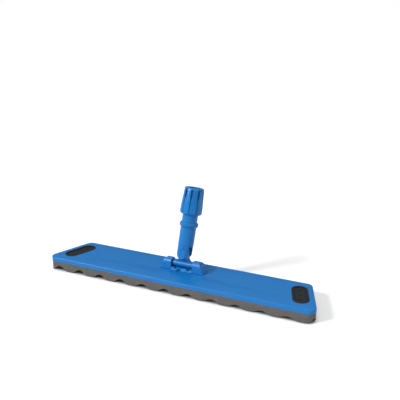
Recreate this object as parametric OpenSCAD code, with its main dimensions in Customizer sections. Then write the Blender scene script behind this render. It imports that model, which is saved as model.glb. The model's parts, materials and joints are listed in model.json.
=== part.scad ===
// Trapezoid wiping head with a foam sole, a two-way joint and a twist-lock pole socket.
// The origin is on the ground under the middle of the head. The long edge faces -Y.

/* [Head] */
// Length of the long front edge, measured to its sharp corners
head_len = 612; // [420:1:820]
// Depth of the head from the long edge to the short edge
head_depth = 110; // [96:1:140]
// How far each end leans away from square, in degrees
end_slant = 20; // [0:1:25]
// Radius of the four corners
corner_r = 14; // [8:0.5:20]
// Height of the deck's edge
deck_h = 9; // [8:0.5:14]
// Thickness of the deck's top wall
deck_wall = 3; // [2.2:0.1:4]
// Thickness of the deck's edge wall
skirt_wall = 2.6; // [2:0.1:4]
// Rounding of the deck's upper edge
edge_r = 1.5; // [0.5:0.1:2]
// Thickness of the foam sole
foam_h = 20; // [12:1:30]
// Thickness of the board that the foam is glued to
board_t = 1.6; // [1:0.1:2.4]
// Thickness of the stiffening ribs under the deck
rib_t = 2; // [1.2:0.1:3]
// Distance between the ribs that cross the deck
rib_pitch = 44; // [30:1:80]

/* [Cloth grips] */
// Length of a rubber cloth grip
grip_len = 75; // [60:1:80]
// Width of a rubber cloth grip
grip_wid = 32.5; // [26:0.5:40]
// Distance from the slanted edge of the deck to the grip
grip_margin = 11; // [8:0.5:20]
// How far the grip's rim stands above the deck
grip_rise = 0.8; // [0.4:0.1:1.5]
// Width of the rim around the grip's soft middle
grip_rim = 4.5; // [3:0.5:6]
// Thickness of the soft middle that the slits are cut in
grip_skin = 2; // [1.2:0.1:2.5]
// Number of star slits in a grip
star_count = 3; // [1:1:3]
// Length of each cut of a star slit
star_len = 17; // [10:0.5:18]
// Width of a cut
slit_w = 0.5; // [0.3:0.1:0.8]

/* [Joint] */
// Distance of the joint behind the middle of the head
hinge_y = 10; // [0:0.5:14]
// Height of the barrel's axis above the deck
hinge_rise = 12.5; // [12:0.5:18]
// Distance between the two brackets
cheek_gap = 49; // [44:0.5:60]
// Radius of the brackets' round tops
bracket_r = 11; // [9:0.5:12]
// Length of a bracket along the deck
bracket_len = 26.5; // [24:0.5:34]
// How much deeper the foot of a bracket is than its top, on each side
foot_flare = 1.5; // [0:0.5:3]
// Radius of the barrel
barrel_r = 6.5; // [5.5:0.1:8]
// Radius of the steel pin in the barrel
barrel_pin_r = 2.5; // [2:0.1:3]
// Distance from the barrel's axis to the tilt pin's axis
pin_rise = 25; // [24:0.5:34]
// Radius of the steel tilt pin
tilt_pin_r = 3; // [2:0.1:4]
// Thickness of the tongue between the fork's legs
tongue_t = 17.4; // [14:0.2:20]
// Half width of the tongue, and radius of its round top
tongue_r = 9; // [7:0.5:11]
// Half width of the tongue's foot on the barrel
tongue_foot = 17; // [12:0.5:19]
// Radius of the round lower ends of the fork's legs
leg_r = 13; // [10:0.5:14]
// Radius of the caps over the tilt pin
cap_r = 7.8; // [5:0.1:8.5]
// Thickness of the friction washers
washer_t = 1; // [0.6:0.1:1.6]
// Backward lean of the cross at rest, in degrees
rest_lean = 12.5; // [0:0.5:20]
// Sideways tilt of the handle at rest, in degrees
rest_tilt = 4; // [0:0.5:20]

/* [Pole socket] */
// Outer radius of the socket's lower body and fork
body_r = 16.2; // [15:0.1:18]
// Radius of the pole that the socket takes
pole_r = 12; // [10.5:0.1:12.5]
// Depth of the pole's hole in the socket tube
bore_depth = 72; // [50:1:74]
// Height of the bead's middle above the tilt pin
bead_z = 60.5; // [56:0.5:66]
// Radius of the bead
bead_r = 19.5; // [18:0.1:21]
// Width of the bead
bead_w = 11; // [8:0.5:12]
// Height of the nut's lower end above the tilt pin
nut_z = 83; // [78:0.5:90]
// Length of the nut
nut_len = 55; // [50:0.5:62]
// Radius of the nut's lower end
nut_r_low = 23; // [22:0.1:25]
// Radius of the nut's upper end
nut_r_top = 19.5; // [18.8:0.1:21]
// Number of grip slots around the nut
slot_count = 9; // [6:1:10]
// Pitch of the screw thread
thread_pitch = 5; // [3:0.5:6]
// Number of slits in the collet
collet_slits = 6; // [4:1:8]

/* [Fits] */
// Radial running clearance of a pin in its hole
run_fit = 0.05; // [0.03:0.01:0.08]
// Gap between faces that slide over each other
face_gap = 0.1; // [0.05:0.05:0.3]
// Gap between curved faces of parts that move past each other
move_gap = 0.5; // [0.3:0.1:0.8]
// Radial clearance of the pole in its hole
pole_fit = 0.2; // [0.1:0.05:0.4]

/* [Screws] */
// Radius of the screws that hold the hinge base
screw_r = 2; // [1.5:0.1:2.2]
// Radius of the screw heads
screw_head_r = 3.8; // [3:0.1:4.2]
// Height of the screw heads
screw_head_h = 2.4; // [1.8:0.1:2.6]
// Length of a screw under its head
screw_len = 10; // [8:0.5:10]

/* [Hidden] */
$fn = 72;

EPS = 0.01;
BLUE = [0.16, 0.47, 0.75];
BLACK = [0.16, 0.16, 0.17];
STEEL = [0.74, 0.75, 0.77];
NATURAL = [0.86, 0.86, 0.83];
FOAM = [0.42, 0.42, 0.41];

// ---- heights of the head's layers
deck_bottom = foam_h;
deck_top = foam_h + deck_h;
wall_bottom = deck_top - deck_wall;
board_top = foam_h + board_t;

// ---- outline of the head: four corner centres, each with the outward normals of its two edges
end_normal = [cos(end_slant), sin(end_slant)];
end_offset = end_normal * [head_len / 2, -head_depth / 2];
function end_x(y, inset) = (end_offset - inset - end_normal[1] * y) / end_normal[0];
function corner(side, back) =
    let (y = back * (head_depth / 2 - corner_r))
    [[side * end_x(y, corner_r), y], [[0, back], [side * end_normal[0], end_normal[1]]]];
corners = [corner(1, -1), corner(1, 1), corner(-1, 1), corner(-1, -1)];
function edge_points(c, r) =
    (c[1][0][1] * c[1][1][0] < 0)
    ? [c[0] + r * c[1][0], c[0] + r * c[1][1]]
    : [c[0] + r * c[1][1], c[0] + r * c[1][0]];

// ---- cloth grips
grip_y = 1;
grip_x = end_x(grip_y, grip_margin + grip_wid / 2);
grip_neck = 3;
grip_clamp_t = 1.6;
grip_wall = 2;
star_pitch = star_len + 2.5;

// ---- joint
bracket_in = cheek_gap / 2;
bracket_out = bracket_in + bracket_len;
bracket_top_x = bracket_in + 9;
barrel_len = cheek_gap - 2 * washer_t - 4 * face_gap;
barrel_pin_len = 2 * (bracket_out - 8.5);
fork_gap = tongue_t + 2 * washer_t + 4 * face_gap;
fork_top = leg_r + move_gap + 1;
cap_proud = 0.6;
tab_w = 7;
tab_len = 15;
tab_proud = 1.1;
cap_seat = 2;
cap_face = sqrt(body_r * body_r - cap_r * cap_r);
tilt_pin_len = 2 * (cap_face - cap_seat);
lip_h = 1.6;
drain_x = 14.5;
drain_w = 6.5;
drain_d = 6;
lip_y = bracket_r + foot_flare + 1.5;
cradle_h = hinge_rise - barrel_r - move_gap;
screw_spots = [[bracket_in + 6, -4.5], [bracket_out - 10, 4.5]];
scoop_x = -5;
scoop_r = 8;
scoop_depth = 1.4;
boss_r = 6;

// ---- socket
bead_z0 = bead_z - bead_w / 2;
bead_z1 = bead_z + bead_w / 2;
neck_r = body_r;
nut_top = nut_z + nut_len;
nut_roof = 4.5;
nut_skirt = 6;
tube_top = nut_top - 31;
bore_bottom = tube_top - bore_depth;
slot_turn = 4;
thread_rings = 3;
thread_crest = 15.2;
thread_root = 14.4;
thread_z = nut_z + nut_skirt + 2;
nut_root = thread_crest + 1.1;
nut_crest = thread_crest + 0.35;
chamber_r = 16;
collet_foot = tube_top;
collet_top = nut_top - nut_roof - 1;
collet_r = 15;
collet_tip_r = 13.4;
collet_cone = 9;
collet_slit = 1.6;
collet_bite = 0.2;
lead_in = 1;
ring_len = 7;
ring_top = nut_top - nut_roof;
pole_hole = pole_r + pole_fit;

// ---------- helpers ----------
module outline(inset = 0) {
    r = corner_r - inset;
    polygon([for (c = corners) each edge_points(c, r)]);
    for (c = corners)
        translate(c[0])
            circle(r);
}

module slab(z0, z1, inset = 0) {
    translate([0, 0, z0])
        linear_extrude(z1 - z0)
            outline(inset);
}

module stadium(long, wide) {
    square([wide, long - wide], center = true);
    for (s = [-1, 1])
        translate([0, s * (long - wide) / 2])
            circle(wide / 2);
}

module stadium_slab(z0, z1, grow) {
    translate([0, 0, z0])
        linear_extrude(z1 - z0)
            stadium(grip_len + 2 * grow, grip_wid + 2 * grow);
}

module at_grip(side) {
    translate([side * grip_x, grip_y, 0])
        rotate(side * end_slant)
            children();
}

module at_hinge() {
    translate([0, hinge_y, deck_top])
        children();
}

module at_cross() {
    at_hinge()
        translate([0, 0, hinge_rise])
            rotate([-rest_lean, 0, 0])
                children();
}

module at_socket() {
    at_cross()
        translate([0, 0, pin_rise])
            rotate([0, rest_tilt, 0])
                children();
}

module rod_x(r, length) {
    rotate([0, 90, 0])
        cylinder(h = length, r = r, center = true);
}

module rod_y(r, length) {
    rotate([90, 0, 0])
        cylinder(h = length, r = r, center = true);
}

module pipe(z0, z1, r_out, r_in) {
    translate([0, 0, z0])
        difference() {
            cylinder(h = z1 - z0, r = r_out);
            translate([0, 0, -EPS])
                cylinder(h = z1 - z0 + 2 * EPS, r = r_in);
        }
}

module at_screws() {
    for (side = [-1, 1], p = screw_spots)
        translate([side * p[0], side * p[1], 0])
            children();
}

// ---------- head ----------
module deck_rim() {
    steps = 4;
    hull()
        for (c = corners)
            translate([c[0][0], c[0][1], deck_bottom])
                rotate_extrude($fn = 48)
                    polygon(concat(
                        [[0, 0], [corner_r, 0]],
                        [for (i = [0 : steps])
                            let (a = 90 * i / steps)
                            [corner_r - edge_r + edge_r * cos(a), deck_h - edge_r + edge_r * sin(a)]],
                        [[0, deck_h]]));
}

module deck_ribs() {
    rib_h = wall_bottom - board_top;
    half = ceil(head_len / 2 / rib_pitch) * rib_pitch;
    for (y = [-head_depth / 4 : head_depth / 4 : head_depth / 4])
        translate([-head_len / 2, y - rib_t / 2, board_top])
            cube([head_len, rib_t, rib_h + EPS]);
    for (x = [-half : rib_pitch : half])
        translate([x - rib_t / 2, -head_depth / 2, board_top])
            cube([rib_t, head_depth, rib_h + EPS]);
}

module scoop() {
    ball_r = (scoop_r * scoop_r + scoop_depth * scoop_depth) / (2 * scoop_depth);
    at_hinge()
        translate([scoop_x, -lip_y, ball_r - scoop_depth])
            sphere(ball_r);
}

module deck_shell() color(BLUE) {
    difference() {
        deck_rim();
        slab(deck_bottom - 1, wall_bottom, skirt_wall);
        for (side = [-1, 1])
            at_grip(side) {
                stadium_slab(deck_top - deck_wall / 2, deck_top + 1, 0);
                stadium_slab(wall_bottom - 1, deck_top, -grip_neck);
            }
        at_hinge()
            at_screws()
                translate([0, 0, -deck_wall - 1])
                    cylinder(h = deck_wall + 2, r = screw_r + run_fit);
        scoop();
    }
    difference() {
        intersection() {
            deck_ribs();
            slab(board_top, wall_bottom + 1, skirt_wall - 1);
        }
        for (side = [-1, 1])
            at_grip(side)
                stadium_slab(board_top - 1, wall_bottom + 1, grip_wall);
        at_hinge()
            at_screws()
                translate([0, 0, -deck_h])
                    cylinder(h = deck_h, r = boss_r - 1);
    }
    for (side = [-1, 1])
        at_grip(side)
            difference() {
                stadium_slab(board_top, wall_bottom + EPS, grip_wall + 1);
                stadium_slab(board_top - 1, wall_bottom + 1, 1);
            }
    at_hinge()
        at_screws()
            pipe(board_top - deck_top, wall_bottom - deck_top + EPS, boss_r, screw_head_r + 0.3);
}

module backing_board() color(NATURAL)
    slab(foam_h, board_top, skirt_wall + 0.3);

module foam_pad() color(FOAM)
    slab(0, foam_h, 0.5);

module star_slits() {
    for (i = [0 : star_count - 1], a = [0 : 60 : 120])
        translate([0, (i - (star_count - 1) / 2) * star_pitch, 0])
            rotate(a)
                square([star_len, slit_w], center = true);
}

module cloth_grip(side) color(BLACK) {
    skin_top = wall_bottom + grip_skin;
    at_grip(side)
        difference() {
            union() {
                stadium_slab(deck_top - deck_wall / 2, deck_top + grip_rise, -face_gap);
                stadium_slab(wall_bottom - grip_clamp_t, deck_top - deck_wall / 2 + EPS, -grip_neck - face_gap);
            }
            stadium_slab(skin_top, deck_top + grip_rise + 1, -grip_rim);
            stadium_slab(wall_bottom - grip_clamp_t - 1, wall_bottom, -grip_rim);
            translate([0, 0, wall_bottom - 1])
                linear_extrude(deck_wall + 2)
                    star_slits();
        }
}

module grip_clamp(side) color(NATURAL)
    at_grip(side)
        difference() {
            stadium_slab(wall_bottom - grip_clamp_t, wall_bottom, 0.5);
            stadium_slab(wall_bottom - grip_clamp_t - 1, wall_bottom + 1, -grip_neck);
        }

// ---------- hinge base ----------
module bracket_side() {
    circle_x = bracket_top_x;
    reach = [bracket_out - circle_x, hinge_rise];
    span = norm(reach);
    turn = asin(bracket_r / span) - atan2(reach[1], reach[0]) + 90;
    touch = [circle_x + bracket_r * cos(90 - turn), hinge_rise + bracket_r * sin(90 - turn)];
    polygon([[bracket_in, 0], [bracket_out, 0], touch, [circle_x, hinge_rise],
             [circle_x, hinge_rise + bracket_r], [bracket_in, hinge_rise + bracket_r]]);
    translate([circle_x, hinge_rise])
        circle(bracket_r);
}

module bracket_end() {
    foot = bracket_r + foot_flare;
    polygon([[-foot, 0], [foot, 0], [bracket_r, hinge_rise], [-bracket_r, hinge_rise]]);
    translate([0, hinge_rise])
        circle(bracket_r);
}

module bracket(side) {
    intersection() {
        scale([side, 1, 1])
            rotate([90, 0, 0])
                linear_extrude(3 * bracket_r, center = true)
                    bracket_side();
        rotate([90, 0, 90])
            linear_extrude(2 * bracket_out + 2, center = true)
                bracket_end();
        translate([side * (bracket_in + bracket_len), 0, 0])
            cube([2 * bracket_len, 4 * bracket_r, 6 * bracket_r], center = true);
    }
}

module cradle() {
    crest_y = barrel_r + 2.5;
    difference() {
        rotate([90, 0, 90])
            linear_extrude(cheek_gap + 2, center = true)
                polygon([[-lip_y, 0], [lip_y, 0], [lip_y, lip_h], [crest_y, cradle_h],
                         [-crest_y, cradle_h], [-lip_y, lip_h]]);
        translate([0, 0, hinge_rise])
            rod_x(barrel_r + move_gap, cheek_gap + 1);
        translate([scoop_x, -lip_y, -1])
            cylinder(h = cradle_h + 2, r = scoop_r * 0.6);
        for (x = [-drain_x, drain_x])
            translate([x - drain_w / 2, -crest_y - 2, lip_h])
                cube([drain_w, drain_d, hinge_rise]);
    }
}

module hinge_base() color(BLUE)
    at_hinge()
        difference() {
            union() {
                bracket(-1);
                bracket(1);
                cradle();
            }
            translate([0, 0, hinge_rise])
                rod_x(barrel_pin_r + run_fit, barrel_pin_len + 2 * face_gap);
            translate([-bracket_out - 1, 0, hinge_rise])
                rotate([0, 90, 0])
                    cylinder(h = bracket_len, r = barrel_pin_r + run_fit);
            at_screws()
                translate([0, 0, -1])
                    cylinder(h = screw_len - deck_wall + 1.5, r = screw_r + run_fit);
        }

module base_screws() color(STEEL)
    at_hinge()
        at_screws() {
            translate([0, 0, -deck_wall - EPS])
                cylinder(h = screw_len, r = screw_r);
            translate([0, 0, -deck_wall - screw_head_h])
                difference() {
                    cylinder(h = screw_head_h, r = screw_head_r);
                    for (a = [0, 90])
                        rotate(a)
                            translate([0, 0, 0.5])
                                cube([4, 0.9, 2], center = true);
                }
        }

module barrel_pin() color(STEEL)
    at_hinge()
        translate([0, 0, hinge_rise])
            rod_x(barrel_pin_r, barrel_pin_len);

module barrel_washers() color(BLACK)
    at_hinge()
        translate([0, 0, hinge_rise])
            for (side = [-1, 1])
                translate([side * (cheek_gap / 2 - face_gap - washer_t / 2), 0, 0])
                    rotate([0, 90, 0])
                        pipe(-washer_t / 2, washer_t / 2, barrel_r - 0.5, barrel_pin_r + run_fit);

// ---------- cross ----------
module tongue_front() {
    waist = barrel_r + 5;
    polygon([[-tongue_foot, 0], [tongue_foot, 0], [tongue_foot, barrel_r - 2], [tongue_r, waist],
             [tongue_r, pin_rise], [-tongue_r, pin_rise], [-tongue_r, waist],
             [-tongue_foot, barrel_r - 2]]);
    translate([0, pin_rise])
        circle(tongue_r);
}

module tongue_side() {
    foot = barrel_r - 1.5;
    top = pin_rise + tongue_r + 1;
    polygon([[-foot, 0], [foot, 0], [foot, barrel_r - 1], [tongue_t / 2, barrel_r + 4],
             [tongue_t / 2, top], [-tongue_t / 2, top], [-tongue_t / 2, barrel_r + 4],
             [-foot, barrel_r - 1]]);
}

module cross_block() color(BLUE)
    at_cross()
        difference() {
            union() {
                rod_x(barrel_r, barrel_len);
                intersection() {
                    rotate([90, 0, 0])
                        linear_extrude(tongue_t, center = true)
                            tongue_front();
                    rotate([90, 0, 90])
                        linear_extrude(2 * tongue_foot + 2, center = true)
                            tongue_side();
                }
            }
            rod_x(barrel_pin_r + run_fit, barrel_len + 2);
            translate([0, 0, pin_rise])
                rod_y(tilt_pin_r + run_fit, tongue_t + 2);
        }

// ---------- tilt pin ----------
module tilt_pin() color(STEEL)
    at_socket()
        rod_y(tilt_pin_r, tilt_pin_len);

module tilt_washers() color(BLACK)
    at_socket()
        for (side = [-1, 1])
            translate([0, side * (fork_gap / 2 - face_gap - washer_t / 2), 0])
                rotate([90, 0, 0])
                    pipe(-washer_t / 2, washer_t / 2, tongue_r - 0.5, tilt_pin_r + run_fit);

module pin_caps() color(BLUE)
    at_socket()
        for (side = [-1, 1])
            translate([0, side * (cap_face - cap_seat / 2 + cap_proud / 2), 0])
                rod_y(cap_r, cap_seat + cap_proud);

// ---------- socket ----------
module thread(r_low, r_high, z0) {
    flank = thread_pitch / 4;
    for (i = [0 : thread_rings - 1])
        translate([0, 0, z0 + i * thread_pitch])
            rotate_extrude()
                polygon([[r_low, -flank], [r_high, -flank / 2], [r_high, flank / 2], [r_low, flank]]);
}

module socket_profile() {
    bead_c = bead_w / 4;
    polygon([[0, -leg_r - 1], [body_r, -leg_r - 1], [body_r + 0.3, bead_z0],
             [bead_r - bead_c, bead_z0], [bead_r, bead_z0 + bead_c],
             [bead_r, bead_z1 - bead_c], [bead_r - bead_c, bead_z1],
             [neck_r, bead_z1], [neck_r, nut_z + 3], [thread_root, nut_z + 5],
             [thread_root, tube_top], [0, tube_top]]);
}

module fork_trim() {
    difference() {
        translate([0, 0, -2 * leg_r])
            cube([6 * leg_r, 6 * leg_r, 4 * leg_r], center = true);
        rod_y(leg_r, 8 * leg_r);
    }
}

module snap_tab() {
    low = cap_r + 1.6;
    rotate([90, 0, 90])
        linear_extrude(tab_w, center = true)
            polygon([[-body_r + 2, low], [-body_r - tab_proud, low], [-body_r - tab_proud, low + 2],
                     [-body_r + 0.2, low + tab_len], [-body_r + 2, low + tab_len]]);
}

module socket_body() color(BLUE)
    at_socket()
        difference() {
            union() {
                rotate_extrude()
                    socket_profile();
                thread(thread_root - 0.5, thread_crest, thread_z);
                snap_tab();
            }
            fork_trim();
            translate([0, 0, (fork_top - 4 * leg_r) / 2])
                cube([6 * leg_r, fork_gap, fork_top + 4 * leg_r], center = true);
            rod_y(tilt_pin_r + run_fit, 3 * body_r);
            for (side = [-1, 1])
                translate([0, side * (cap_face - cap_seat + body_r / 2), 0])
                    rod_y(cap_r + run_fit, body_r);
            translate([0, 0, bore_bottom])
                cylinder(h = bore_depth + 1, r = pole_hole);
            translate([0, 0, tube_top - lead_in])
                cylinder(h = 2 * lead_in, r1 = pole_hole, r2 = pole_hole + 2 * lead_in);
        }

module collet() color(NATURAL)
    at_socket()
        difference() {
            rotate_extrude()
                polygon([[pole_hole - collet_bite, collet_foot], [thread_root, collet_foot],
                         [collet_r, collet_foot + 1], [collet_r, collet_top - collet_cone],
                         [collet_tip_r, collet_top], [pole_hole - collet_bite, collet_top]]);
            for (i = [0 : collet_slits - 1])
                rotate(i * 360 / collet_slits)
                    translate([0, -collet_slit / 2, collet_foot + 6])
                        cube([2 * collet_r, collet_slit, nut_len]);
        }

module thrust_ring() color(NATURAL)
    at_socket() {
        cone_gap = 0.45;
        slope = (collet_r - collet_tip_r) / collet_cone;
        z1 = ring_top - face_gap;
        z0 = z1 - ring_len;
        rotate_extrude()
            polygon([[collet_tip_r + cone_gap + slope * (collet_top - z0), z0],
                     [chamber_r - run_fit, z0], [chamber_r - run_fit, z1],
                     [collet_tip_r + cone_gap, z1],
                     [collet_tip_r + cone_gap, collet_top]]);
    }

module nut_profile() {
    foot = 2.2;
    polygon([[neck_r + move_gap, nut_z], [nut_r_low - foot, nut_z], [nut_r_low, nut_z + foot],
             [nut_r_low - 0.3, nut_z + nut_len / 3], [nut_r_top + 0.8, nut_top - 2.2],
             [nut_r_top - 0.6, nut_top], [pole_hole + 0.6, nut_top],
             [pole_hole + 0.6, nut_top - nut_roof], [chamber_r, nut_top - nut_roof],
             [chamber_r, thread_z + (thread_rings - 0.5) * thread_pitch],
             [nut_root, thread_z + (thread_rings - 0.5) * thread_pitch],
             [nut_root, nut_z + nut_skirt], [neck_r + move_gap, nut_z + nut_skirt]]);
}

module nut_slot() {
    low = nut_z + 0.53 * nut_len;
    high = nut_top - 3;
    slot_floor = chamber_r + 1.1;
    wide = 2.5;
    rotate([90, 0, 90])
        translate([0, 0, slot_floor])
            linear_extrude(nut_r_low)
                polygon([[-0.35, low], [0.35, low], [wide, low + 11], [wide, high - 1.5],
                         [wide - 1, high], [1 - wide, high], [-wide, high - 1.5], [-wide, low + 11]]);
}

module nut_groove() {
    lean = atan2(nut_r_low - nut_r_top, nut_len);
    size = 2.4;
    translate([nut_r_low + 0.35, 0, nut_z - 1])
        rotate([0, -lean, 0])
            rotate(45)
                translate([-size / 2, -size / 2, 0])
                    cube([size, size, 0.62 * nut_len]);
}

module lock_nut() color(BLUE)
    at_socket()
        difference() {
            union() {
                rotate_extrude()
                    nut_profile();
                thread(nut_root + 0.5, nut_crest, thread_z + thread_pitch / 2);
            }
            for (i = [0 : slot_count - 1])
                rotate(slot_turn + i * 360 / slot_count) {
                    nut_slot();
                    nut_groove();
                }
        }

deck_shell();
backing_board();
foam_pad();
cloth_grip(-1);  // cloth_grip_left
cloth_grip(1);  // cloth_grip_right
grip_clamp(-1);  // grip_clamp_left
grip_clamp(1);  // grip_clamp_right
hinge_base();
base_screws();
barrel_pin();
barrel_washers();
cross_block();
tilt_pin();
tilt_washers();
pin_caps();
socket_body();
collet();
thrust_ring();
lock_nut();
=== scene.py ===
"""Finish, foam and studio for the trapezoid wiping head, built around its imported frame."""

import json
import math

import bmesh
import bpy
from bpy.props import FloatProperty, FloatVectorProperty, IntProperty, PointerProperty
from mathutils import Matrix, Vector, noise


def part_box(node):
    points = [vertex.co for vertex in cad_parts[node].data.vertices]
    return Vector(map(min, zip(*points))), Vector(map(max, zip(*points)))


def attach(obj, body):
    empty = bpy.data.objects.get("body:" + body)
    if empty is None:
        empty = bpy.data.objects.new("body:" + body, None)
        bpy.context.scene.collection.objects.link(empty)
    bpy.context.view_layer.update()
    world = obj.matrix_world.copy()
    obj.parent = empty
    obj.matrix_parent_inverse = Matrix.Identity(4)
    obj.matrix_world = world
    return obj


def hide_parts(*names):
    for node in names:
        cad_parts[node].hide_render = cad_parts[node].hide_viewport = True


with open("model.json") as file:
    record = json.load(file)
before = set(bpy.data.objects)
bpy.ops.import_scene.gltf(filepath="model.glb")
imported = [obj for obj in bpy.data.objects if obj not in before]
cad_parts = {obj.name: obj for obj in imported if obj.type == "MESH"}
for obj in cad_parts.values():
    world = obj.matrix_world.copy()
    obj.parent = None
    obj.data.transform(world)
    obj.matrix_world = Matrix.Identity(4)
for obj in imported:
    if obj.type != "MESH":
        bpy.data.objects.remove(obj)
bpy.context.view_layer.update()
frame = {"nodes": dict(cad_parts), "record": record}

bl_info = {
    "name": "Wiping head finishes",
    "version": (1, 0, 0),
    "blender": (4, 5, 0),
    "location": "View3D > Sidebar > Wiping head",
    "description": "Dresses the packed frame of a trapezoid wiping head and sets up its studio",
    "category": "Object",
}

MM = 0.001
FOAM_LOW, FOAM_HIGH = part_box("foam_pad")
MERGE_GAP = 0.002 * MM  # corners closer than this are one corner
SHORT_EDGE = 0.05 * MM  # edges shorter than this are drawn together
FLAT_ANGLE = math.radians(0.6)  # moulded faces that meet at less than this are one face
FOAM_FLAT_ANGLE = math.radians(1)
SHADE_ANGLE = math.radians(32)  # steeper edges of moulded pieces are shaded hard
FOAM_SHADE_ANGLE = math.radians(50)
WANDER_RATE = 40  # changes of the foam's unevenness in a metre


# ---------------------------------------------------------------- settings
class FoamSettings(bpy.types.PropertyGroup):
    """Sizes of the profiled foam sole."""

    pitch_x: FloatProperty(
        name="Peak spacing along", description="Distance between peaks along the head",
        default=52.4 * MM, min=0.02, max=0.1, unit="LENGTH")
    pitch_y: FloatProperty(
        name="Peak spacing across", description="Distance between rows in step across the head",
        default=39 * MM, min=0.02, max=0.08, unit="LENGTH")
    depth: FloatProperty(
        name="Profile depth", description="Height from the free peaks to the valleys",
        default=14 * MM, min=0.002, max=0.018, unit="LENGTH")
    squeeze: FloatProperty(
        name="Squeeze", description="How far the head's weight presses the peaks flat",
        default=3.5 * MM, min=0, max=0.006, unit="LENGTH")
    skew: FloatProperty(
        name="Skew", description="Turn of the profile against the head's long edges",
        default=math.radians(0.68), min=-0.1, max=0.1, subtype="ANGLE")
    valley_x: FloatProperty(
        name="Valley along", description="Place of one valley along the head",
        default=-12 * MM, unit="LENGTH")
    valley_y: FloatProperty(
        name="Valley across", description="Place of one valley across the head",
        default=-50.6 * MM, unit="LENGTH")
    unevenness: FloatProperty(
        name="Unevenness", description="How far the cut peaks wander up and down",
        default=0.7 * MM, min=0, max=0.003, unit="LENGTH")
    soft_rim: FloatProperty(
        name="Soft rim", description="Height over which a pressed peak rounds into its slope",
        default=1.2 * MM, min=0, max=0.005, unit="LENGTH")
    cell: FloatProperty(
        name="Mesh spacing", description="Distance between the sole's mesh points",
        default=2.2 * MM, min=0.001, max=0.006, unit="LENGTH")


class PlasticSettings(bpy.types.PropertyGroup):
    """Colours and edge rounding of the moulded pieces."""

    blue: FloatVectorProperty(
        name="Blue", description="Colour of the moulded polypropylene",
        default=(0.004, 0.178, 0.520), min=0, max=1, size=3, subtype="COLOR")
    rubber: FloatVectorProperty(
        name="Rubber", description="Colour of the cloth grips",
        default=(0.017, 0.0175, 0.019), min=0, max=1, size=3, subtype="COLOR")
    foam: FloatVectorProperty(
        name="Foam", description="Colour of the foam's cut faces",
        default=(0.132, 0.125, 0.119), min=0, max=1, size=3, subtype="COLOR")
    round_edge: FloatProperty(
        name="Edge rounding", description="Radius on the moulded pieces' edges",
        default=0.45 * MM, min=0, max=0.001, unit="LENGTH")
    round_steps: IntProperty(
        name="Rounding steps", description="Segments in each rounded edge",
        default=3, min=1, max=6)


class StudioSettings(bpy.types.PropertyGroup):
    """Camera and lamps."""

    lens: FloatProperty(
        name="Lens", description="Focal length in millimetres", default=55.6, min=20, max=120)
    key_strength: FloatProperty(
        name="Key lamp", description="Strength of the large front lamp", default=2.5, min=0, max=6)
    key_spread: FloatProperty(
        name="Key spread", description="Apparent width of the large front lamp",
        default=math.radians(13), min=0, max=3, subtype="ANGLE")
    fill_strength: FloatProperty(
        name="Fill lamp", description="Strength of the lamp on the other side",
        default=0.35, min=0, max=6)
    top_strength: FloatProperty(
        name="Top lamp", description="Strength of the wide lamp overhead",
        default=0.45, min=0, max=6)
    ambient: FloatProperty(
        name="Ambient", description="Light from all round", default=0.38, min=0, max=2)


def settings():
    """The three groups of settings on the scene."""
    scene = bpy.context.scene
    return scene.head_foam, scene.head_plastic, scene.head_studio


# ---------------------------------------------------------------- shader maths
class Value:
    """A number socket that takes part in ordinary arithmetic."""

    def __init__(self, finish, socket):
        self.finish = finish
        self.socket = socket

    def _math(self, operation, *values):
        return self.finish.node("ShaderNodeMath", {"operation": operation}, list(values))

    def __add__(self, other):
        return self._math("ADD", self, other)

    def __radd__(self, other):
        return self._math("ADD", other, self)

    def __sub__(self, other):
        return self._math("SUBTRACT", self, other)

    def __rsub__(self, other):
        return self._math("SUBTRACT", other, self)

    def __mul__(self, other):
        return self._math("MULTIPLY", self, other)

    def __rmul__(self, other):
        return self._math("MULTIPLY", other, self)

    def __truediv__(self, other):
        return self._math("DIVIDE", self, other)

    def clamp(self, low=0.0, high=1.0):
        """This value kept between two limits."""
        return self._math("MINIMUM", self._math("MAXIMUM", self, low), high)

    def step(self, low, high):
        """0 below low, 1 above high, and a straight ramp between them."""
        return ((self - low) / (high - low)).clamp()


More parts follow.
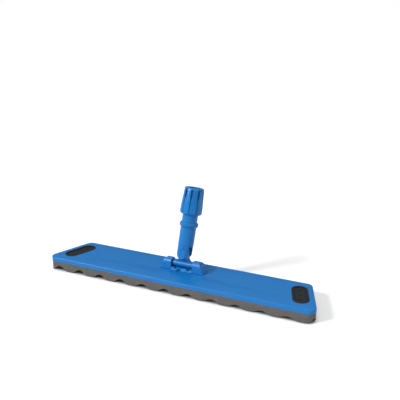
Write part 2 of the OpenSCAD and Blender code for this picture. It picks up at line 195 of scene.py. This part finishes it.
class Finish:
    """A material or world being built: one method adds any node, the others name the patterns."""

    # The Mix node has sockets of one name for each kind of data, so the colour ones go by number.
    MIX_FACTOR, MIX_FIRST, MIX_SECOND, MIX_COLOUR = 0, 6, 7, 2

    def __init__(self, name, world=None):
        self.material = world or bpy.data.materials.new(name)
        self.material.use_nodes = True
        self.tree = self.material.node_tree
        self.tree.nodes.clear()
        kind = "ShaderNodeOutputWorld" if world else "ShaderNodeOutputMaterial"
        self.out = self.tree.nodes.new(kind)
        self.place = self.node("ShaderNodeTexCoord", output="Object")

    def node(self, kind, options=None, inputs=None, output=0):
        """Adds a node with its settings first, then the values or links of its sockets."""
        made = self.tree.nodes.new(kind)
        for key, option in (options or {}).items():
            setattr(made, key, option)
        pairs = inputs.items() if isinstance(inputs, dict) else enumerate(inputs or [])
        for key, given in pairs:
            if isinstance(given, Value):
                self.tree.links.new(given.socket, made.inputs[key])
            else:
                made.inputs[key].default_value = given
        return Value(self, made.outputs[output])

    def stretched(self, scale=(1, 1, 1), turn=(0, 0, 0)):
        """Object coordinates turned and scaled, for grain that runs one way."""
        return self.node(
            "ShaderNodeMapping", inputs={"Vector": self.place, "Rotation": turn, "Scale": scale})

    def cloud(self, size, detail=3, rough=0.55, where=None):
        """Soft noise from 0 to 1, with features of the given size in metres."""
        inputs = {"Vector": where or self.place, "Scale": 1 / size}
        inputs |= {"Detail": detail, "Roughness": rough}
        return self.node("ShaderNodeTexNoise", inputs=inputs)

    def cells(self, size):
        """Distance to the nearest of scattered points, as in open foam."""
        return self.node("ShaderNodeTexVoronoi", inputs={"Vector": self.place, "Scale": 1 / size})

    def edges(self, radius, contrast=6):
        """High on edges and corners, and 0 on open faces."""
        rounded = self.node("ShaderNodeBevel", {"samples": 6}, {"Radius": radius})
        flat = self.node("ShaderNodeNewGeometry", output="Normal")
        alike = self.node(
            "ShaderNodeVectorMath", {"operation": "DOT_PRODUCT"}, [rounded, flat], output="Value")
        return (1 - alike) * contrast

    def shade_mask(self, reach):
        """1 deep in seams and corners where ambient light is blocked, 0 on open faces; it drives
        painted shade.
        """
        open_sky = self.node(
            "ShaderNodeAmbientOcclusion", {"samples": 8}, {"Distance": reach}, output="AO")
        return 1 - open_sky

    def blend(self, factor, first, second):
        """A colour between two others."""
        pair = {self.MIX_FACTOR: factor, self.MIX_FIRST: first, self.MIX_SECOND: second}
        return self.node("ShaderNodeMix", {"data_type": "RGBA"}, pair, output=self.MIX_COLOUR)

    def bump(self, height, depth, strength=1.0, over=None):
        """A normal that follows a height pattern of the given depth in metres."""
        inputs = {"Height": height, "Distance": depth, "Strength": strength}
        if over is not None:
            inputs["Normal"] = over
        return self.node("ShaderNodeBump", inputs=inputs)

    def surface(self, **sockets):
        """Ends the material in one principled shader with these sockets."""
        named = {key.replace("_", " "): given for key, given in sockets.items()}
        shader = self.node("ShaderNodeBsdfPrincipled", inputs=named)
        self.tree.links.new(shader.socket, self.out.inputs["Surface"])
        return self.material


def tint(colour, factor, lift=0.0):
    """A colour as four numbers, scaled and then lifted."""
    return (*[min(1.0, c * factor + lift) for c in colour], 1.0)


# ---------------------------------------------------------------- finishes
def moulded_blue(name, painted_seam_shade=0.75):
    """Polypropylene from a textured mould: fine grain, flow marks, edges lightened by wear and by a
    painted highlight, a few scuffs, and painted shade in its seams.
    """
    blue = settings()[1].blue
    finish = Finish(name)
    grain = finish.cloud(0.55 * MM, detail=2, rough=0.6)
    sheen_patches = finish.cloud(28 * MM, rough=0.5)
    along_flow = finish.stretched(scale=(0.25, 1.2, 1.2))
    flow = finish.cloud(9 * MM, detail=4, rough=0.6, where=along_flow)
    along_wipe = finish.stretched(scale=(0.05, 1.0, 1.0), turn=(0, 0, 0.12))
    wiped = finish.cloud(1.6 * MM, rough=0.7, where=along_wipe)
    scuffs = wiped.step(0.60, 0.74) * sheen_patches.step(0.50, 0.66)
    # Edges lightened partly as wear from rubbing and partly as a painted highlight along the
    # rounding.
    lightened_edges = finish.edges(0.9 * MM).step(0.25, 1.1) * (0.35 + 0.65 * finish.cloud(4 * MM))
    body = finish.blend(flow.step(0.30, 0.72), tint(blue, 0.93), tint(blue, 1.05))
    body = finish.blend(scuffs * 0.30, body, tint(blue, 1.15, 0.035))
    body = finish.blend(lightened_edges * 0.75, body, tint(blue, 1.6, 0.06))
    # Painted shade: the plastic is darkened deep in seams and corners where ambient light is
    # blocked.
    seams = finish.shade_mask(7 * MM).step(0.25, 0.90)
    body = finish.blend(seams * painted_seam_shade, body, tint(blue, 0.28))
    rough = 0.27 + 0.09 * sheen_patches + 0.05 * flow + 0.14 * scuffs - 0.05 * lightened_edges
    relief = finish.bump(grain, 0.05 * MM, strength=0.55)
    sag = finish.cloud(60 * MM, detail=1)
    relief = finish.bump(sag, 0.35 * MM, strength=0.35, over=relief)
    return finish.surface(
        Base_Color=body, Roughness=rough.clamp(0.18, 0.85), Normal=relief,
        Specular_IOR_Level=0.4)


def ribbed_blue(name):
    """The same plastic with less painted shade in its seams, for the grooved nut."""
    return moulded_blue(name, painted_seam_shade=0.40)


def open_foam(name):
    """Open grey foam: cells with dark mouths, paler ribs, a dusty cut face and painted shade where
    it is deeply recessed.
    """
    grey = settings()[1].foam
    finish = Finish(name)
    mouths = finish.cells(1.5 * MM)
    pores = finish.cells(0.7 * MM)
    clouds = finish.cloud(14 * MM)
    clumps = finish.cloud(3.2 * MM, detail=2, rough=0.7)
    pits = (0.65 * mouths.step(0.02, 0.55) + 0.35 * pores.step(0.05, 0.6)).clamp()
    body = finish.blend(pits, tint(grey, 0.42), tint(grey, 1.28))
    body = finish.blend(clouds.step(0.3, 0.7) * 0.35, body, tint(grey, 0.72, 0.004))
    body = finish.blend(clumps.step(0.42, 0.62) * 0.45, body, tint(grey, 0.50))
    # Painted shade: the foam is darkened where it is deeply recessed, as in the valleys of the
    # profile.
    painted_hollow_shade = finish.shade_mask(16 * MM).step(0.45, 0.95)
    body = finish.blend(painted_hollow_shade * 0.85, body, tint(grey, 0.12))
    relief = finish.bump(pits, 0.7 * MM, strength=0.9)
    return finish.surface(
        Base_Color=body, Roughness=0.95 - 0.05 * clouds, Normal=relief, Specular_IOR_Level=0.15,
        Sheen_Weight=0.12, Sheen_Roughness=0.6)


def black_rubber(name):
    """Matt moulded rubber with a fine grain and a dusting of lint."""
    black = settings()[1].rubber
    finish = Finish(name)
    grain = finish.cloud(0.35 * MM, detail=2, rough=0.65)
    bloom = finish.cloud(11 * MM, detail=4, rough=0.6)
    lint = finish.cloud(1.1 * MM, detail=2).step(0.66, 0.74) * bloom.step(0.45, 0.7)
    body = finish.blend(bloom.step(0.3, 0.75), tint(black, 0.82), tint(black, 1.25))
    body = finish.blend(lint * 0.25, body, tint(black, 1.8, 0.05))
    lightened_edges = finish.edges(0.7 * MM).step(0.2, 1.2)
    body = finish.blend(lightened_edges * 0.4, body, tint(black, 1.7, 0.01))
    return finish.surface(
        Base_Color=body, Roughness=(0.60 + 0.14 * bloom + 0.1 * lint - 0.1 * lightened_edges).clamp(),
        Normal=finish.bump(grain, 0.06 * MM, strength=0.7), Specular_IOR_Level=0.2)


def pressed_board(name):
    """Pale hardboard with matted fibres."""
    finish = Finish(name)
    lengthwise = finish.stretched(scale=(0.35, 1.0, 1.0))
    fibres = finish.cloud(1.3 * MM, detail=4, rough=0.7, where=lengthwise)
    flecks = finish.cloud(0.6 * MM, detail=2).step(0.62, 0.72)
    body = finish.blend(fibres.step(0.25, 0.75), (0.42, 0.33, 0.22, 1), (0.60, 0.50, 0.36, 1))
    body = finish.blend(flecks * 0.5, body, (0.22, 0.15, 0.09, 1))
    return finish.surface(
        Base_Color=body, Roughness=0.78 + 0.12 * fibres,
        Normal=finish.bump(fibres, 0.15 * MM, strength=0.6))


def natural_nylon(name):
    """Unpigmented nylon, a warm off-white with a faint moulding haze."""
    finish = Finish(name)
    haze = finish.cloud(6 * MM)
    grain = finish.cloud(0.4 * MM, detail=2)
    body = finish.blend(haze.step(0.3, 0.7), (0.60, 0.57, 0.49, 1), (0.72, 0.69, 0.61, 1))
    return finish.surface(
        Base_Color=body, Roughness=0.34 + 0.14 * haze,
        Normal=finish.bump(grain, 0.03 * MM, strength=0.5))


def zinc_steel(name):
    """Zinc-plated steel with draw lines and a blotchy passivation tint."""
    finish = Finish(name)
    lengthwise = finish.stretched(scale=(0.08, 1.0, 1.0))
    drawn = finish.cloud(0.3 * MM, rough=0.6, where=lengthwise)
    blotches = finish.cloud(3 * MM)
    body = finish.blend(blotches.step(0.3, 0.7), (0.52, 0.53, 0.54, 1), (0.68, 0.67, 0.62, 1))
    return finish.surface(
        Base_Color=body, Metallic=1.0, Roughness=0.26 + 0.18 * drawn,
        Normal=finish.bump(drawn, 0.02 * MM, strength=0.4))


FINISHES = {
    "blue_plastic": moulded_blue,
    "blue_plastic_dark": ribbed_blue,
    "black_rubber": black_rubber,
    "grey_foam": open_foam,
    "pale_board": pressed_board,
    "natural_nylon": natural_nylon,
    "zinc_steel": zinc_steel,
}


def finish_for(slot):
    """The finish of one material slot of the record, made once."""
    name = "finish_" + slot
    return bpy.data.materials.get(name) or FINISHES[slot](name)


# ---------------------------------------------------------------- mesh helpers
def add_piece(name, shape, body, slot):
    """Turns a bmesh into an object that rides on a body and wears the slot's finish."""
    mesh = bpy.data.meshes.new(name)
    shape.to_mesh(mesh)
    shape.free()
    if "custom_normal" in mesh.attributes:
        mesh.attributes.remove(mesh.attributes["custom_normal"])
    mesh.materials.clear()
    mesh.materials.append(finish_for(slot))
    piece = bpy.data.objects.new(name, mesh)
    bpy.context.scene.collection.objects.link(piece)
    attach(piece, body)
    return piece


def shade_by_angle(shape, angle=SHADE_ANGLE):
    """Smooth faces with hard edges only where two faces meet steeply."""
    for face in shape.faces:
        face.smooth = True
    for edge in shape.edges:
        edge.smooth = len(edge.link_faces) == 2 and edge.calc_face_angle(0) < angle


def slot_of(node):
    """The material slot that the record gives this node."""
    return next(row["material_slot"] for row in frame["record"]["subparts"] if row["node"] == node)


def weigh_edges(shape, width):
    """Marks how far each outward edge is rounded, which is less beside a narrow face."""
    weight = shape.edges.layers.float.new("bevel_weight_edge")
    for edge in shape.edges:
        if edge.smooth or len(edge.link_faces) != 2 or not edge.is_convex:
            continue
        length = max(edge.calc_length(), MERGE_GAP)
        room = min(face.calc_area() for face in edge.link_faces) / length
        edge[weight] = min(1.0, room / (2 * width))


def softened(node, body, width, steps, split=False):
    """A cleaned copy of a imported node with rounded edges, which is shown in its place.

    Split divides ring-shaped faces first, for a piece with a wide rim round a mouth.
    """
    shape = bmesh.new()
    shape.from_mesh(frame["nodes"][node].data)
    bmesh.ops.remove_doubles(shape, verts=shape.verts, dist=MERGE_GAP)
    bmesh.ops.dissolve_limit(
        shape, angle_limit=FLAT_ANGLE, verts=shape.verts, edges=shape.edges)
    bmesh.ops.dissolve_degenerate(shape, dist=SHORT_EDGE, edges=shape.edges)
    stray = [edge for edge in shape.edges if not edge.link_faces]
    bmesh.ops.delete(shape, geom=stray, context="EDGES")
    if split:
        bmesh.ops.connect_verts_concave(shape, faces=shape.faces)
    shade_by_angle(shape)
    weigh_edges(shape, width)
    piece = add_piece(node + "_finished", shape, body, slot_of(node))
    edge = piece.modifiers.new("rounded edges", "BEVEL")
    edge.width = width
    edge.segments = steps
    edge.limit_method = "WEIGHT"
    edge.use_clamp_overlap = False
    edge.harden_normals = True
    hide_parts(node)


def dress(node):
    """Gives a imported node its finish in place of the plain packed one."""
    thing = frame["nodes"][node]
    for spot in thing.material_slots:
        spot.link = "OBJECT"
        spot.material = finish_for(slot_of(node))


# ---------------------------------------------------------------- operators
class HEAD_OT_foam(bpy.types.Operator):
    """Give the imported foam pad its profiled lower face"""

    bl_idname = "head.foam"
    bl_label = "Foam sole"

    def execute(self, context):
        """Cuts a copy of the pad into a fine mesh and raises its lower face into the profile."""
        foam = settings()[0]
        pad = frame["nodes"]["foam_pad"]
        shape = bmesh.new()
        shape.from_mesh(pad.data)
        bmesh.ops.remove_doubles(shape, verts=shape.verts, dist=MERGE_GAP)
        bmesh.ops.dissolve_limit(
            shape, angle_limit=FOAM_FLAT_ANGLE, verts=shape.verts, edges=shape.edges)
        self.slice(shape, foam.cell)
        for vertex in shape.verts:
            vertex.co.z += self.profile(vertex.co, foam)
        shade_by_angle(shape, FOAM_SHADE_ANGLE)
        sole = add_piece("foam_sole", shape, "head", "grey_foam")
        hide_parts("foam_pad")
        return {"FINISHED"}

    @staticmethod
    def slice(shape, cell):
        """Cuts the pad along and across into a fine mesh."""
        extent = FOAM_HIGH - FOAM_LOW
        for side in (Vector((extent.x, 0, 0)), Vector((0, extent.y, 0))):
            count = round(side.length / cell)
            for i in range(1, count):
                everything = shape.verts[:] + shape.edges[:] + shape.faces[:]
                bmesh.ops.bisect_plane(
                    shape, geom=everything, dist=1e-7, plane_co=FOAM_LOW + side * (i / count),
                    plane_no=side.normalized())

    @staticmethod
    def profile(place, foam):
        """How far the lower face lies above the peaks here; nothing changes at the glued face."""
        share = 1 - (place.z - FOAM_LOW.z) / (FOAM_HIGH.z - FOAM_LOW.z)
        x, y = place.x - foam.valley_x, place.y - foam.valley_y
        turn, lean = math.cos(foam.skew), math.sin(foam.skew)
        along = math.cos(math.tau * (x * turn + y * lean) / foam.pitch_x)
        across = math.cos(math.tau * (y * turn - x * lean) / foam.pitch_y)
        wander = foam.unevenness * noise.noise(place * WANDER_RATE)
        above = foam.depth * (1 + along * across) / 2 + wander - foam.squeeze
        return share * (above + math.hypot(above, foam.soft_rim)) / 2


class HEAD_OT_plastics(bpy.types.Operator):
    """Finish the moulded blue pieces with rounded edges and a textured surface"""

    bl_idname = "head.plastics"
    bl_label = "Moulded pieces"

    # Each node with its body, its share of the edge rounding, and whether its rims are divided.
    PIECES = (
        ("deck_shell", "head", 0.5, False),
        ("hinge_base", "head", 1.2, False),
        ("cross_block", "cross", 0.35, False),
        ("pin_caps", "socket", 0.5, False),
        ("socket_body", "socket", 0.6, False),
        ("lock_nut", "nut", 0.9, True),
    )

    def execute(self, context):
        """Makes a softened copy of each moulded piece."""
        plastic = settings()[1]
        for node, body, share, split in self.PIECES:
            softened(node, body, plastic.round_edge * share, plastic.round_steps, split)
        return {"FINISHED"}


class HEAD_OT_grips(bpy.types.Operator):
    """Finish the two rubber cloth grips"""

    bl_idname = "head.grips"
    bl_label = "Cloth grips"

    SHARE = 0.8

    def execute(self, context):
        """Rounds the rim of each grip and gives it the rubber finish."""
        plastic = settings()[1]
        for side in ("left", "right"):
            width = plastic.round_edge * self.SHARE
            softened("cloth_grip_" + side, "head", width, plastic.round_steps)
        return {"FINISHED"}


class HEAD_OT_hardware(bpy.types.Operator):
    """Give the pins, washers, screws, board and collet their own finishes"""

    bl_idname = "head.hardware"
    bl_label = "Inner pieces"

    NODES = (
        "base_screws", "barrel_pin", "tilt_pin", "barrel_washers", "tilt_washers", "collet",
        "thrust_ring", "grip_clamp_left", "grip_clamp_right", "backing_board")

    def execute(self, context):
        """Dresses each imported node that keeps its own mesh."""
        for node in self.NODES:
            dress(node)
        return {"FINISHED"}


class HEAD_OT_studio(bpy.types.Operator):
    """Set the floor, lamps, surroundings and camera"""

    bl_idname = "head.studio"
    bl_label = "Studio"

    FLOOR_HALF = 12.0
    FLOOR_WHITE = (0.80, 0.80, 0.80, 1)
    # Colour of the painted shade on the floor where the object is near
    FLOOR_SHADED = (0.20, 0.20, 0.20, 1)
    FLOOR_LIFT = 0.34
    SHADE_REACH = 16 * MM
    KEY_FROM = Vector((-0.68, -0.73, 0.65))
    FILL_FROM = Vector((0.80, -0.35, 0.55))
    TOP_FROM = Vector((0.10, 0.15, 1.0))
    FILL_SPREAD = math.radians(40)
    TOP_SPREAD = math.radians(70)
    DIM_HORIZON = 0.12
    HORIZON, ZENITH = 0.30, 0.90
    CAMERA_PLACE = Vector((0.5405, -1.0578, 0.5712))
    CAMERA_AIM = Vector((-0.4048, 0.8607, -0.3088))

    def execute(self, context):
        """Builds the studio round the object."""
        studio = settings()[2]
        self.floor()
        self.lamp("key_lamp", self.KEY_FROM, studio.key_strength, studio.key_spread)
        self.lamp("fill_lamp", self.FILL_FROM, studio.fill_strength, self.FILL_SPREAD)
        self.lamp("top_lamp", self.TOP_FROM, studio.top_strength, self.TOP_SPREAD)
        self.surroundings(studio.ambient)
        self.camera(studio.lens)
        return {"FINISHED"}

    def floor(self):
        """A wide white floor that keeps the object's shadow."""
        shape = bmesh.new()
        bmesh.ops.create_grid(shape, x_segments=1, y_segments=1, size=self.FLOOR_HALF)
        mesh = bpy.data.meshes.new("floor")
        shape.to_mesh(mesh)
        shape.free()
        ground = bpy.data.objects.new("floor", mesh)
        bpy.context.scene.collection.objects.link(ground)
        mesh.materials.append(self.floor_finish())

    def floor_finish(self):
        """A matt white floor, lifted to plain white for the camera, with painted shade where the
        object comes close, as under the sole.
        """
        finish = Finish("studio_floor")
        seen = finish.node("ShaderNodeLightPath", output="Is Camera Ray")
        # Painted shade: where the object is near, clear falls and the floor turns to the darker
        # colour without its lift.
        clear = (1 - finish.shade_mask(self.SHADE_REACH)).step(0.20, 0.75)
        shaded = finish.node("ShaderNodeBsdfDiffuse", inputs={"Color": self.FLOOR_SHADED})
        white = finish.node("ShaderNodeBsdfDiffuse", inputs={"Color": self.FLOOR_WHITE})
        lift = finish.node(
            "ShaderNodeEmission",
            inputs={"Color": (1, 1, 1, 1), "Strength": seen * self.FLOOR_LIFT})
        lifted = finish.node("ShaderNodeAddShader", inputs=[white, lift])
        both = finish.node("ShaderNodeMixShader", inputs=[clear, shaded, lifted])
        finish.tree.links.new(both.socket, finish.out.inputs["Surface"])
        return finish.material

    @staticmethod
    def lamp(name, toward, strength, spread):
        """A distant lamp that shines from the given side."""
        light = bpy.data.lights.new(name, "SUN")
        light.energy = strength
        light.angle = spread
        lamp = bpy.data.objects.new(name, light)
        lamp.rotation_mode = "QUATERNION"
        lamp.rotation_quaternion = toward.to_track_quat("Z", "Y")
        bpy.context.scene.collection.objects.link(lamp)

    def surroundings(self, ambient):
        """Even light from all round, seen as plain white, and mirrored with a dim horizon."""
        world = bpy.data.worlds.new("studio")
        world.use_nodes = True
        sky = Finish("studio_sky", world)
        straight = sky.node("ShaderNodeLightPath", output="Is Camera Ray")
        through = sky.node("ShaderNodeLightPath", output="Is Transmission Ray")
        mirrored = sky.node("ShaderNodeLightPath", output="Is Glossy Ray")
        direction = sky.node("ShaderNodeTexCoord", output="Generated")
        height = sky.node("ShaderNodeSeparateXYZ", inputs=[direction], output="Z")
        dim = self.DIM_HORIZON
        overhead = dim + (1 - dim) * height.step(self.HORIZON, self.ZENITH)
        seen = (straight + through + mirrored * overhead).clamp()
        plain = (1 - straight - through - mirrored).clamp() * ambient
        glow = sky.node(
            "ShaderNodeBackground", inputs={"Color": (1, 1, 1, 1), "Strength": seen + plain})
        sky.tree.links.new(glow.socket, sky.out.inputs["Surface"])
        bpy.context.scene.world = world

    def camera(self, lens):
        """The main view."""
        data = bpy.data.cameras.new("main_view")
        data.lens = lens
        data.sensor_width = 36.0
        data.clip_start = 0.01
        data.clip_end = 100.0
        view = bpy.data.objects.new("main_view", data)
        view.location = self.CAMERA_PLACE
        view.rotation_mode = "QUATERNION"
        view.rotation_quaternion = self.CAMERA_AIM.to_track_quat("-Z", "Y")
        bpy.context.scene.collection.objects.link(view)
        bpy.context.scene.camera = view
        bpy.context.scene.view_settings.view_transform = "Standard"


class HEAD_PT_panel(bpy.types.Panel):
    """Lists the steps and their settings"""

    bl_label = "Wiping head"
    bl_idname = "HEAD_PT_panel"
    bl_space_type = "VIEW_3D"
    bl_region_type = "UI"
    bl_category = "Wiping head"

    def draw(self, context):
        """One box for each group of settings, then the operators."""
        for group in settings():
            box = self.layout.box()
            for name in group.__annotations__:
                box.prop(group, name)
        for operator in OPERATORS:
            self.layout.operator(operator.bl_idname)


GROUPS = {"head_foam": FoamSettings, "head_plastic": PlasticSettings, "head_studio": StudioSettings}
OPERATORS = (HEAD_OT_foam, HEAD_OT_plastics, HEAD_OT_grips, HEAD_OT_hardware, HEAD_OT_studio)
CLASSES = (*GROUPS.values(), *OPERATORS, HEAD_PT_panel)


def register():
    """Registers the classes and hangs the settings on the scene."""
    for cls in CLASSES:
        bpy.utils.register_class(cls)
    for name, group in GROUPS.items():
        setattr(bpy.types.Scene, name, PointerProperty(type=group))


def unregister():
    """Takes the settings and the classes away again."""
    for name in GROUPS:
        delattr(bpy.types.Scene, name)
    for cls in reversed(CLASSES):
        bpy.utils.unregister_class(cls)


def main():
    """Runs every step."""
    register()
    for operator in OPERATORS:
        group, name = operator.bl_idname.split(".")
        getattr(getattr(bpy.ops, group), name)()


if __name__ == "__main__":
    main()
